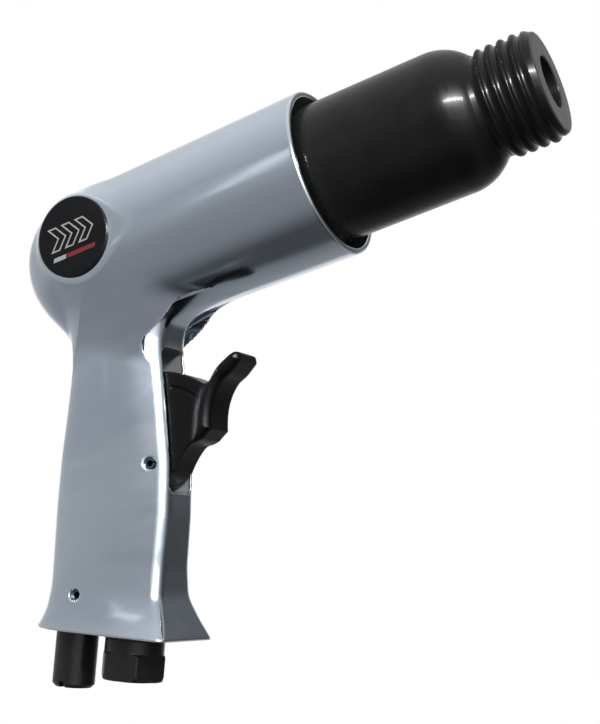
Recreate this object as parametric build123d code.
"""Pneumatic air hammer with a pistol grip, for chisels with a 10.2 mm taper shank.

Frame: origin at the centre of the muzzle face, +X out of the muzzle along the barrel, +Z up, -Y the
tool's right side. Millimetres.

The grip has its own coordinates in the XZ plane: s runs down the grip from the point where its axis
meets the barrel's axis, and t runs forward, at right angles to s.
"""
from build123d import *
import math
import os

# ---------------------------------------------------------------- driving dimensions
# Barrel
barrel_radius = 19.0
face_radius = 13.3
neck_radius = 13.6
crest_radius = 14.7
thread_pitch = 3.15
thread_turns = 4.5
groove_radius = 1.05
nose_chamfer = 0.6
nose_lead = 3.2
neck_end = 15.6
shoulder_end = 28.0
shoulder_arc = 14.0
seat_mouth_radius = 7.0
shank_radius = 5.15
seat_depth = 9.4
shank_bore_end = 27.0
cylinder_radius = 9.55
cylinder_start = 28.6
barrel_land_end = 108.0
barrel_end = 126.0
screw_radius = 17.5
relief_length = 2.4

# Housing
mouth_x = -62.7
mouth_radius = 23.1
mouth_bore_radius = 21.4
body_radius = 22.0
dome_centre_x = -137.8
exhaust_step_x = -80.0
exhaust_inner_radius = 20.3
pilot_start_x = -100.0
chamber_radius = 15.6
chamber_end_x = -146.0
plenum_radius = 11.0
plenum_end_x = -151.0
boss_radius = 12.2
boss_taper_deg = 25.0
boss_root_y = 12.0
boss_face_y = 22.3
boss_x = -132.6
boss_z = 1.8
badge_radius = 11.4
badge_thickness = 0.6

# Grip
grip_top_x = -125.5
grip_lean = 18.5
grip_end = 107.4

# Trigger and its slot
pivot_s = 60.7
pivot_t = 14.9
pin_radius = 1.5
trigger_pin_half_length = 8.6
trigger_hole_radius = 1.58
trigger_half_width = 4.8
pad_half_width = 6.3
sector_radius = 25.6
sector_groove_radius = 21.4
heel_radius = 5.3
trigger_back_t = 9.4
slot_half_width = 5.3
slot_top = 28.2
slot_bottom = 68.0
slot_floor = 4.0

# Throttle
throttle_s = 44.0
throttle_bore_radius = 5.5
throttle_bore_floor = -14.0
stem_radius = 1.5
stem_tip_t = 9.0
seat_face_t = -4.0
seat_hole_radius = 2.4
ball_radius = 3.2

# Air inlet and regulator
inlet_t = 9.5
inlet_bore_radius = 5.6
inlet_thread_length = 14.0
inlet_shank_radius = 7.2
inlet_shank_top = 93.0
inlet_collar_radius = 8.2
hex_across_flats = 16.2
hex_turn_deg = -9.0
hex_start = 111.9
inlet_end = 119.3
regulator_t = -9.8
regulator_shank_radius = 5.9
regulator_knob_radius = 5.9
regulator_top = 86.8
regulator_end = 123.2
regulator_pin_s = 97.4
regulator_pin_t = -2.9
regulator_pin_half_length = 11.7
regulator_port_s = 90.0
running_gap = 0.05

# Percussion parts
piston_radius = 9.5
piston_length = 55.0
piston_rear_x = -125.0

# ---------------------------------------------------------------- frames and helpers
lean = math.radians(grip_lean)
DOWN = Vector(-math.sin(lean), 0, -math.cos(lean))
FORWARD = Vector(math.cos(lean), 0, -math.sin(lean))
GRIP_TOP = Vector(grip_top_x, 0, 0)


def grip(s, t, y=0.0):
    """Point of the grip at s down its axis, t forward and y across."""
    return GRIP_TOP + DOWN * s + FORWARD * t + Vector(0, y, 0)


def grip_plane(s, t=0.0):
    """Plane across the grip at s: local x runs forward, local z runs down the grip."""
    return Plane(origin=grip(s, t), x_dir=FORWARD, z_dir=DOWN)


def side_plane(y=0.0):
    """Plane of the grip's side view: local x is t, local y is -s, local z is -Y."""
    return Plane(origin=grip(0, 0, y), x_dir=FORWARD, z_dir=Vector(0, -1, 0))


def cross_plane(s, t, direction=1):
    """Plane facing along the grip's t axis, for parts that lie fore and aft."""
    return Plane(origin=grip(s, t), x_dir=Vector(0, 1, 0), z_dir=FORWARD * direction)


def rod(plane, radius, length):
    """Cylinder that grows along a plane's normal."""
    return extrude(plane * Circle(radius), amount=length)


def tube(plane, outer, inner, length):
    """Hollow cylinder that grows along a plane's normal."""
    return extrude(plane * (Circle(outer) - Circle(inner)), amount=length)


def along_x(x):
    """Plane across the barrel's axis at x, facing the muzzle."""
    return Plane(origin=(x, 0, 0), x_dir=(0, 1, 0), z_dir=(1, 0, 0))


def across(x, z, y):
    """Plane across the Y axis at a point, facing +Y."""
    return Plane(origin=(x, y, z), x_dir=(1, 0, 0), z_dir=(0, 1, 0))


def turned(*points):
    """Solid of revolution about the barrel's axis from an outline of (x, radius) points."""
    return revolve(make_face(Polyline(*points, close=True)), axis=Axis.X)


def roll_pin(s, t, radius, half_length):
    """Slotted spring pin that lies across the grip."""
    centre = grip(s, t)
    plane = across(centre.X, centre.Z, -half_length)
    sleeve = tube(plane, radius, radius - 0.55, 2 * half_length)
    slit = plane * Pos(radius - 0.4, 0, half_length) * Box(1.6, 0.5, 2 * half_length + 2)
    return sleeve - slit


def o_ring(plane, ring_radius, section_radius):
    """Ring of round section lying in a plane."""
    return plane * Torus(ring_radius, section_radius)


# ---------------------------------------------------------------- barrel group
def barrel_part():
    """Cylinder with a rope-threaded nose, a taper seat, a shank bore and exhaust ports."""
    crest_back = -neck_end + 0.9
    half = math.sqrt(shoulder_arc**2 - (shoulder_arc - barrel_radius + neck_radius) ** 2)
    neck_x = -shoulder_end + half
    mid_x = (neck_x - shoulder_end) / 2
    mid_rise = math.sqrt(shoulder_arc**2 - (mid_x + shoulder_end) ** 2)
    shoulder = ThreePointArc(
        (neck_x, neck_radius),
        (mid_x, barrel_radius - shoulder_arc + mid_rise),
        (-shoulder_end, barrel_radius),
    )
    front = Polyline(
        (0, seat_mouth_radius),
        (0, face_radius - nose_chamfer),
        (-nose_chamfer, face_radius),
        (-nose_lead, crest_radius),
        (crest_back, crest_radius),
        (-neck_end, neck_radius),
        (neck_x, neck_radius),
    )
    rear = Polyline(
        (-shoulder_end, barrel_radius),
        (-barrel_land_end, barrel_radius),
        (-barrel_land_end, screw_radius - 1.2),
        (-barrel_land_end - relief_length, screw_radius - 1.2),
        (-barrel_land_end - relief_length, screw_radius),
        (-barrel_end + 1, screw_radius),
        (-barrel_end, screw_radius - 1),
        (-barrel_end, cylinder_radius),
        (-cylinder_start, cylinder_radius),
        (-shank_bore_end, shank_radius),
        (-seat_depth, shank_radius),
        (0, seat_mouth_radius),
    )
    solid = revolve(make_face([*front.edges(), *shoulder.edges(), *rear.edges()]), axis=Axis.X)
    # The retainer spring screws into a round-bottomed helical groove.
    path = Pos(-neck_end + 0.6, 0, 0) * Rot(0, 90, 0) * Helix(thread_pitch, thread_pitch * thread_turns, crest_radius)
    start = Plane(origin=path @ 0, z_dir=path % 0)
    solid -= sweep(start * Circle(groove_radius), path=path, is_frenet=True)
    # Exhaust ports in two rows and return passages drilled in the wall.
    for x in (-74.0, -82.0):
        for angle in range(0, 360, 45):
            solid -= Rot(angle, 0, 0) * Pos(x, 0, 14.5) * Cylinder(1.6, 12)
    for angle in (30, 210):
        solid -= Rot(angle, 0, 0) * Pos(-79, 0, 13.6) * Rot(0, 90, 0) * Cylinder(1.5, 94.2)
        solid -= Rot(angle, 0, 0) * Pos(-33.5, 0, 11.5) * Cylinder(1.5, 5.5)
    return solid


def piston_part():
    """Free piston with a hardened nose and a relieved middle."""
    rear, front = piston_rear_x, piston_rear_x + piston_length
    return turned(
        (rear, 0), (rear, piston_radius - 1), (rear + 1, piston_radius), (rear + 16, piston_radius),
        (rear + 17, piston_radius - 0.8), (rear + 26, piston_radius - 0.8), (rear + 27, piston_radius),
        (front - 5, piston_radius), (front - 4, piston_radius - 1.2), (front - 1, piston_radius - 2),
        (front, piston_radius - 3), (front, 0),
    )


valve_front_x = -barrel_end - 0.2
valve_split_x = valve_front_x - 5.0
valve_rear_x = valve_split_x - 11.0
disc_gap = 1.2


def valve_plate_part():
    """Front valve plate: the piston's rear cushion and the front seat of the valve disc."""
    plate = tube(along_x(valve_split_x), chamber_radius - 0.4, 5.0, valve_front_x - valve_split_x)
    for angle in range(0, 360, 60):
        plate -= Rot(angle + 15, 0, 0) * Pos(valve_split_x + 2.5, 0, 8.3) * Rot(0, 90, 0) * Cylinder(1.2, 6)
    return plate - dowel_holes()


def valve_case_part():
    """Rear valve case with the pocket that the disc floats in."""
    case = rod(along_x(valve_rear_x), chamber_radius - 0.4, valve_split_x - valve_rear_x - 0.05)
    case -= rod(along_x(valve_split_x - 3.6), 10.4, 4)
    case -= rod(along_x(valve_rear_x - 1), 3.2, 14)
    for angle in range(0, 360, 45):
        case -= Rot(angle + 22.5, 0, 0) * Pos(valve_rear_x + 4, 0, 7.5) * Rot(0, 90, 0) * Cylinder(1.3, 10)
    return case - dowel_holes()


def valve_disc_part():
    """Flat ring that flutters between the plate and the case."""
    return tube(along_x(valve_split_x - 3.5), 10.2, 4.2, 3.5 - disc_gap)


def dowel_holes(radius=1.25):
    """Two holes through the plate and into the case."""
    holes = [
        Pos(valve_split_x + 0.9, y, 0) * Rot(0, 90, 0) * Cylinder(radius, 8.4)
        for y in (-12.6, 12.6)
    ]
    return holes[0] + holes[1]


def valve_dowels_part():
    """Two dowel pins that keep the plate's and case's ports in line."""
    return dowel_holes(radius=1.2) & Pos(valve_split_x + 0.9, 0, 0) * Box(7.6, 60, 10)


def valve_cushion_part():
    """Rubber ring that presses the valve stack against the barrel."""
    return tube(along_x(chamber_end_x + 0.1), 14.6, 11.4, valve_rear_x - chamber_end_x - 0.2)


def barrel_lock_ring_part():
    """Split spring ring in the relief groove that stops the barrel from unscrewing."""
    ring = tube(along_x(-barrel_land_end - relief_length + 0.3), screw_radius - 0.2, screw_radius - 1.1, 1.7)
    return ring - Pos(-barrel_land_end - 1, 0, screw_radius - 1) * Box(6, 2.5, 6)


# ---------------------------------------------------------------- housing
def grip_section(s, front, back, front_half, mid_half):
    """Section of the grip at s: flat front with rounded corners, widest at the middle, round back."""
    corner = 3.4
    depth = back - 3.0
    half = [(front, 0), (front, (front_half - corner) * 0.6)]
    for angle in (0, 22.5, 45, 67.5, 90):
        a = math.radians(angle)
        half.append((front - corner + corner * math.cos(a), front_half - corner + corner * math.sin(a)))
    side_t, side_w = half[-1]
    for k in (0.3, 0.6, 0.85):
        rise = math.sin(k * math.pi / 2)
        half.append((side_t + (-back + depth - side_t) * k, side_w + (mid_half - side_w) * rise))
    for angle in (0, 20, 40, 58, 74):
        a = math.radians(angle)
        half.append((-back + depth - depth * math.sin(a), mid_half * math.cos(a)))
    points = half + [(-back, 0)] + [(t, -y) for t, y in reversed(half[1:])]
    return grip_plane(s) * make_face(Spline(*points, periodic=True))


def grip_solid():
    """Grip lofted down its axis, flared where it grows out of the barrel housing and at its foot."""
    sections = [
        grip_section(12, 30.0, 27.2, 5.6, 17.0),
        grip_section(15, 22.8, 26.8, 6.8, 16.4),
        grip_section(18.5, 17.2, 25.4, 7.8, 14.8),
        grip_section(22, 14.6, 22.6, 8.0, 13.4),
        grip_section(26.5, 13.8, 19.0, 8.0, 12.5),
        grip_section(32, 14.6, 17.4, 8.0, 12.2),
        grip_section(44, 16.9, 17.7, 8.0, 12.3),
        grip_section(60, 19.5, 18.4, 8.0, 12.5),
        grip_section(74, 20.5, 18.4, 8.1, 12.6),
        grip_section(88, 20.6, 17.8, 8.4, 12.6),
        grip_section(96, 21.4, 17.5, 9.2, 12.8),
        grip_section(102, 24.2, 18.3, 11.2, 13.4),
        grip_section(105.4, 26.0, 19.9, 12.8, 14.1),
        grip_section(grip_end, 26.6, 21.0, 13.8, 14.6),
    ]
    return loft(sections)


def body_solid():
    """Outer form of the barrel housing: a slight taper and a round dome at the rear."""
    rim = 0.8
    outline = [
        Polyline(
            (dome_centre_x, 0), (mouth_x, 0), (mouth_x, mouth_radius - rim),
            (mouth_x - rim, mouth_radius), (dome_centre_x, body_radius),
        ),
        ThreePointArc(
            (dome_centre_x, body_radius),
            (dome_centre_x - body_radius * math.sqrt(0.5), body_radius * math.sqrt(0.5)),
            (dome_centre_x - body_radius, 0),
        ),
        Line((dome_centre_x - body_radius, 0), (dome_centre_x, 0)),
    ]
    return revolve(make_face([e for part in outline for e in part.edges()]), axis=Axis.X)


def boss_solid(side):
    """Raised seat for a badge on one side (-1 right, 1 left)."""
    height = boss_face_y - boss_root_y
    root = Plane(origin=(boss_x, side * boss_root_y, boss_z), x_dir=(1, 0, 0), z_dir=(0, side, 0))
    root_radius = boss_radius + height * math.tan(math.radians(boss_taper_deg))
    return extrude(root * Circle(root_radius), amount=height, taper=boss_taper_deg)


def housing_part():
    """One casting: barrel housing, grip, badge bosses and every drilled passage."""
    solid = body_solid() + grip_solid()
    for side in (-1, 1):
        solid += boss_solid(side)
    # Bores on the barrel's axis, front to rear.
    solid -= rod(along_x(exhaust_step_x), mouth_bore_radius, mouth_x - exhaust_step_x + 1)
    solid -= rod(along_x(pilot_start_x), exhaust_inner_radius, exhaust_step_x - pilot_start_x + 1)
    solid -= rod(along_x(-barrel_land_end), barrel_radius + running_gap, pilot_start_x + barrel_land_end + 1)
    solid -= rod(along_x(-barrel_end - 0.1), screw_radius + running_gap, barrel_end - barrel_land_end + 1)
    solid -= rod(along_x(chamber_end_x), chamber_radius, -barrel_end - chamber_end_x + 1)
    solid -= rod(along_x(plenum_end_x), plenum_radius, chamber_end_x - plenum_end_x + 1)
    return solid - grip_cuts()


def grip_cuts():
    """Trigger slot, throttle bore, air passages, inlet and regulator bores and pin holes."""
    slot = side_plane() * Polyline(
        (30, -slot_top), (30, -slot_bottom), (slot_floor, -slot_bottom), (slot_floor, -slot_top), close=True
    )
    cuts = extrude(make_face(slot), amount=slot_half_width, both=True)
    cuts += rod(cross_plane(throttle_s, throttle_bore_floor), throttle_bore_radius, slot_floor - throttle_bore_floor)
    plenum = Vector(-149.0, 0, -6.0)
    outlet = grip(throttle_s, -0.8)
    cuts += rod(Plane(origin=outlet, z_dir=plenum - outlet), 3.0, (plenum - outlet).length)
    cuts += rod(grip_plane(throttle_s, regulator_t), 3.0, regulator_top - throttle_s)
    cuts += rod(grip_plane(inlet_shank_top, inlet_t), inlet_shank_radius + running_gap, grip_end - inlet_shank_top + 1)
    cuts += rod(grip_plane(86.0, inlet_t), 5.0, inlet_shank_top - 86.0 + 1)
    cuts += rod(grip_plane(regulator_top - 0.8, regulator_t), regulator_shank_radius + running_gap, 30)
    cuts += rod(cross_plane(regulator_port_s, regulator_t), 2.5, inlet_t - regulator_t)
    for s, t in ((pivot_s, pivot_t), (regulator_pin_s, regulator_pin_t)):
        centre = grip(s, t)
        cuts += rod(across(centre.X, centre.Z, -30), pin_radius, 60)
    return cuts


# ---------------------------------------------------------------- trigger and throttle
def trigger_part():
    """Rocker trigger: a finger pad on a web that turns on a pin through its round heel."""
    side = side_plane()
    pad = [
        Spline((38.3, -31.5), (35.6, -35.0), (32.9, -37.6), (30.6, -42.8), (30.2, -47.0), (30.9, -50.4)),
        Line((30.9, -50.4), (28.2, -53.0)),
        Line((28.2, -53.0), (26.4, -53.4)),
        Line((26.4, -53.4), (26.4, -46.0)),
        Spline((26.4, -46.0), (27.0, -42.0), (28.9, -37.8), (31.2, -33.6), (34.6, -30.3)),
        ThreePointArc((34.6, -30.3), (37.2, -29.5), (38.3, -31.5)),
    ]
    pad = extrude(side * make_face([e for part in pad for e in part.edges()]), amount=pad_half_width, both=True)
    web = [
        Line((29.4, -37.4), (29.4, -48.0)),
        Line((29.4, -48.0), (27.0, -53.2)),
        Spline((27.0, -53.2), (24.2, -55.4), (22.0, -58.8), (20.4, -62.6)),
        Line((20.4, -62.6), (pivot_t, -pivot_s)),
        Line((pivot_t, -pivot_s), (trigger_back_t, -57.5)),
        Line((trigger_back_t, -57.5), (trigger_back_t, -33.0)),
        Line((trigger_back_t, -33.0), (27.4, -33.0)),
        Line((27.4, -33.0), (29.4, -37.4)),
    ]
    web = extrude(side * make_face([e for part in web for e in part.edges()]), amount=trigger_half_width, both=True)
    pivot = grip(pivot_s, pivot_t)
    sector = rod(across(pivot.X, pivot.Z, -10), sector_radius, 20)
    heel = rod(across(pivot.X, pivot.Z, -trigger_half_width), heel_radius, 2 * trigger_half_width)
    solid = (web & sector) + pad + heel
    groove = tube(
        across(pivot.X, pivot.Z, -trigger_half_width - 1), sector_groove_radius + 0.5, sector_groove_radius - 0.5, 1.6
    )
    window = Polyline((16.5, -34), (25.4, -34), (25.4, -44), (16.5, -44), close=True)
    groove &= extrude(side * make_face(window), amount=8, both=True)
    solid -= groove
    solid -= mirror(groove, about=Plane.XZ)
    return solid - rod(across(pivot.X, pivot.Z, -10), trigger_hole_radius, 20)


def throttle_bushing_part():
    """Seat bushing pressed into the throttle bore, with cross ports to the outlet passage."""
    solid = tube(cross_plane(throttle_s, seat_face_t), throttle_bore_radius - 0.02, stem_radius + 0.03, slot_floor - seat_face_t)
    solid -= rod(cross_plane(throttle_s, seat_face_t - 1), seat_hole_radius, 5.6)
    solid -= tube(cross_plane(throttle_s, -2.4), 6.0, 4.4, 3.2)
    solid -= tube(cross_plane(throttle_s, 1.5), 2.9, 1.0, 1.6)
    port = grip(throttle_s, -0.8)
    for plane in (grip_plane(throttle_s - 6, -0.8), across(port.X, port.Z, -6)):
        solid -= rod(plane, 1.2, 12)
    return solid


def ball_centre_t():
    """Where the valve ball's centre sits on the grip's t axis when the throttle is shut."""
    return seat_face_t - math.sqrt(ball_radius**2 - seat_hole_radius**2) - 0.05


def throttle_stem_part():
    """Push pin between the trigger and the valve ball."""
    tail = ball_centre_t() + ball_radius + 0.02
    stem = rod(cross_plane(throttle_s, tail), stem_radius, stem_tip_t - tail)
    return chamfer(stem.edges().filter_by(GeomType.CIRCLE), 0.2)


def throttle_ball_part():
    """Valve ball that closes on the bushing's rear edge."""
    centre = grip(throttle_s, ball_centre_t())
    return Pos(centre.X, centre.Y, centre.Z) * Sphere(ball_radius)


def throttle_spring_part():
    """Coil spring behind the valve ball."""
    wire, coil, turns = 0.35, 2.4, 5
    start_t = throttle_bore_floor + wire + 0.05
    end_t = ball_centre_t() - math.sqrt(ball_radius**2 - coil**2) - wire - 0.25
    length = end_t - start_t
    path = cross_plane(throttle_s, start_t).location * Helix(length / turns, length, coil)
    return sweep(Plane(origin=path @ 0, z_dir=path % 0) * Circle(wire), path=path, is_frenet=True)


def throttle_seal_part():
    """O-ring inside the throttle bushing, round the stem."""
    return o_ring(cross_plane(throttle_s, 2.3), 2.2, 0.67)


# ---------------------------------------------------------------- air inlet and regulator
def inlet_bushing_part():
    """Hexagon bushing with a tapered pipe thread bore and a collar."""
    shank = rod(grip_plane(inlet_shank_top, inlet_t), inlet_shank_radius, grip_end - inlet_shank_top + 1)
    collar = rod(grip_plane(grip_end + 0.9, inlet_t), inlet_collar_radius, hex_start - grip_end - 0.9)
    corner = hex_across_flats / 2 / math.cos(math.radians(30))
    hexagon = grip_plane(hex_start, inlet_t) * Rot(0, 0, hex_turn_deg) * RegularPolygon(corner, 6)
    hexagon = extrude(hexagon, amount=inlet_end - hex_start)
    bevel = grip_plane(hex_start, inlet_t) * Cone(
        corner + 4.6, corner - 0.9, inlet_end - hex_start, align=(Align.CENTER, Align.CENTER, Align.MIN)
    )
    solid = shank + collar + (hexagon & bevel)
    solid -= rod(grip_plane(inlet_shank_top - 1, inlet_t), 4.5, 40)
    return solid - rod(grip_plane(inlet_end - inlet_thread_length, inlet_t), inlet_bore_radius, 30)


def inlet_washer_part():
    """Sealing washer between the bushing's collar and the grip's foot."""
    return tube(grip_plane(grip_end + 0.02, inlet_t), 8.5, inlet_shank_radius + 0.1, 0.86)


def inlet_screen_part():
    """Perforated strainer at the inner end of the bushing."""
    plane = grip_plane(inlet_shank_top - 0.7, inlet_t)
    disc = rod(plane, 4.9, 0.6)
    holes = [plane * Pos(1.6 * i, 1.6 * j, 0.3) * Cylinder(0.5, 2) for i in range(-2, 3) for j in range(-2, 3)]
    for hole in holes:
        disc -= hole
    return disc


def regulator_stem_part():
    """Turning stem: a knob below the grip, a seal groove, a pin groove and a metering port."""
    shank = rod(grip_plane(regulator_top, regulator_t), regulator_shank_radius, grip_end - regulator_top + 1)
    knob = rod(grip_plane(grip_end + 0.4, regulator_t), regulator_knob_radius, regulator_end - grip_end - 0.4)
    rim = knob.edges().filter_by(GeomType.CIRCLE).sort_by(Axis(grip(0, 0), DOWN))[-1]
    solid = shank + chamfer(rim, 0.9)
    solid -= tube(grip_plane(regulator_pin_s - 1.7, regulator_t), 7, 5.4, 3.4)
    solid -= tube(grip_plane(101.2, regulator_t), 7, 4.65, 1.9)
    solid -= rod(grip_plane(regulator_top - 1, regulator_t), 2.8, regulator_port_s - regulator_top + 1)
    solid -= rod(cross_plane(regulator_port_s, regulator_t), 2.3, 8)
    slot = grip_plane(regulator_end, regulator_t) * Box(1.6, 30, 3.2)
    return solid - slot


def regulator_seal_part():
    """O-ring in the regulator stem's seal groove."""
    return o_ring(grip_plane(102.15, regulator_t), 5.29, 0.62)


def badge_part(side):
    """Round name plate, left blank."""
    plane = Plane(origin=(boss_x, side * (boss_face_y + 0.02), boss_z), x_dir=(1, 0, 0), z_dir=(0, side, 0))
    return extrude(plane * Circle(badge_radius), amount=badge_thickness)


# ---------------------------------------------------------------- build and export
parts = {
    "housing": housing_part(),
    "barrel": barrel_part(),
    "piston": piston_part(),
    "valve_plate": valve_plate_part(),
    "valve_case": valve_case_part(),
    "valve_disc": valve_disc_part(),
    "valve_dowels": valve_dowels_part(),
    "valve_cushion": valve_cushion_part(),
    "barrel_lock_ring": barrel_lock_ring_part(),
    "trigger": trigger_part(),
    "trigger_pin": roll_pin(pivot_s, pivot_t, pin_radius, trigger_pin_half_length),
    "throttle_bushing": throttle_bushing_part(),
    "throttle_stem": throttle_stem_part(),
    "throttle_ball": throttle_ball_part(),
    "throttle_spring": throttle_spring_part(),
    "throttle_seal": throttle_seal_part(),
    "inlet_bushing": inlet_bushing_part(),
    "inlet_washer": inlet_washer_part(),
    "inlet_screen": inlet_screen_part(),
    "regulator_stem": regulator_stem_part(),
    "regulator_seal": regulator_seal_part(),
    "regulator_pin": roll_pin(regulator_pin_s, regulator_pin_t, pin_radius, regulator_pin_half_length),
    "badge_right": badge_part(-1),
    "badge_left": badge_part(1),
}

os.makedirs("parts", exist_ok=True)
for name, shape in parts.items():
    export_step(shape, f"parts/{name}.step")
